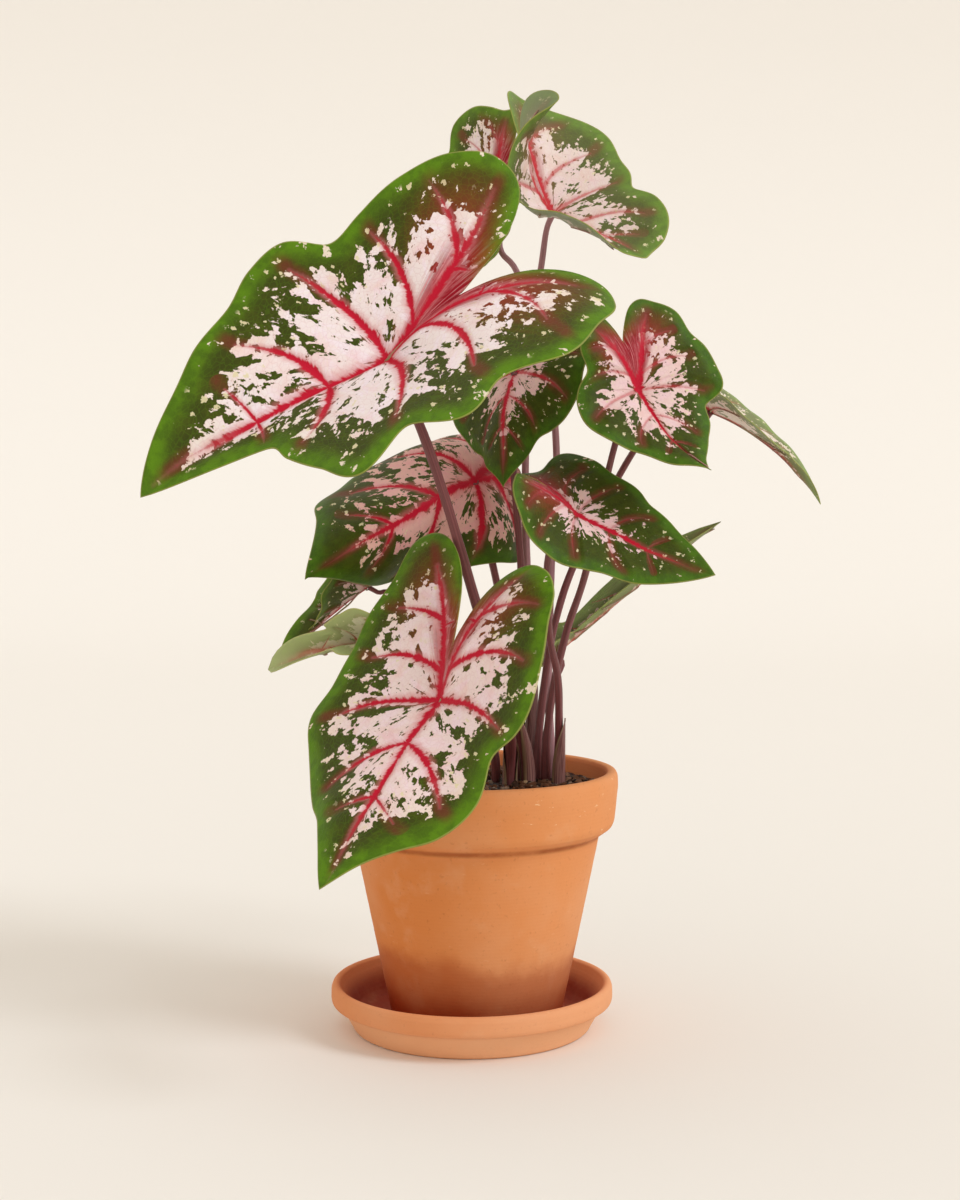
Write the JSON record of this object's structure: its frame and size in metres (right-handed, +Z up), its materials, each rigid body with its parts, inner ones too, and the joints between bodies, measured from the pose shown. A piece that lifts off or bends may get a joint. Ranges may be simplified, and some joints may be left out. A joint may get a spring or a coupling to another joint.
{
  "type": "potted caladium",
  "caption": "Caladium house plant with heart-shaped pink and green leaves on slender stalks, in a terracotta pot standing in its saucer",
  "frame": {"origin": "middle of the saucer's foot, on the surface it stands on", "axes": "+Z up; -Y is the side with the large frontal leaf; +X is to the right seen from there"},
  "size_m": [0.3628, 0.2924, 0.5148],
  "materials": {
    "terracotta": "matte",
    "potting_mix": "rough",
    "tuber": "rough",
    "leaf_blade": "satin",
    "leaf_stalk": "satin"
  },
  "bodies": {
    "root": {"saucer": "terracotta", "pot": "terracotta", "soil": "potting_mix", "tuber": "tuber", "leaf_01_blade": "leaf_blade", "leaf_01_stalk": "leaf_stalk", "leaf_02_blade": "leaf_blade", "leaf_02_stalk": "leaf_stalk", "leaf_03_blade": "leaf_blade", "leaf_03_stalk": "leaf_stalk", "leaf_04_blade": "leaf_blade", "leaf_04_stalk": "leaf_stalk", "leaf_05_blade": "leaf_blade", "leaf_05_stalk": "leaf_stalk", "leaf_06_blade": "leaf_blade", "leaf_06_stalk": "leaf_stalk", "leaf_07_blade": "leaf_blade", "leaf_07_stalk": "leaf_stalk", "leaf_08_blade": "leaf_blade", "leaf_08_stalk": "leaf_stalk", "leaf_09_blade": "leaf_blade", "leaf_09_stalk": "leaf_stalk", "leaf_10_blade": "leaf_blade", "leaf_10_stalk": "leaf_stalk", "leaf_11_blade": "leaf_blade", "leaf_11_stalk": "leaf_stalk", "leaf_12_blade": "leaf_blade", "leaf_12_stalk": "leaf_stalk"}
  },
  "joints": []
}
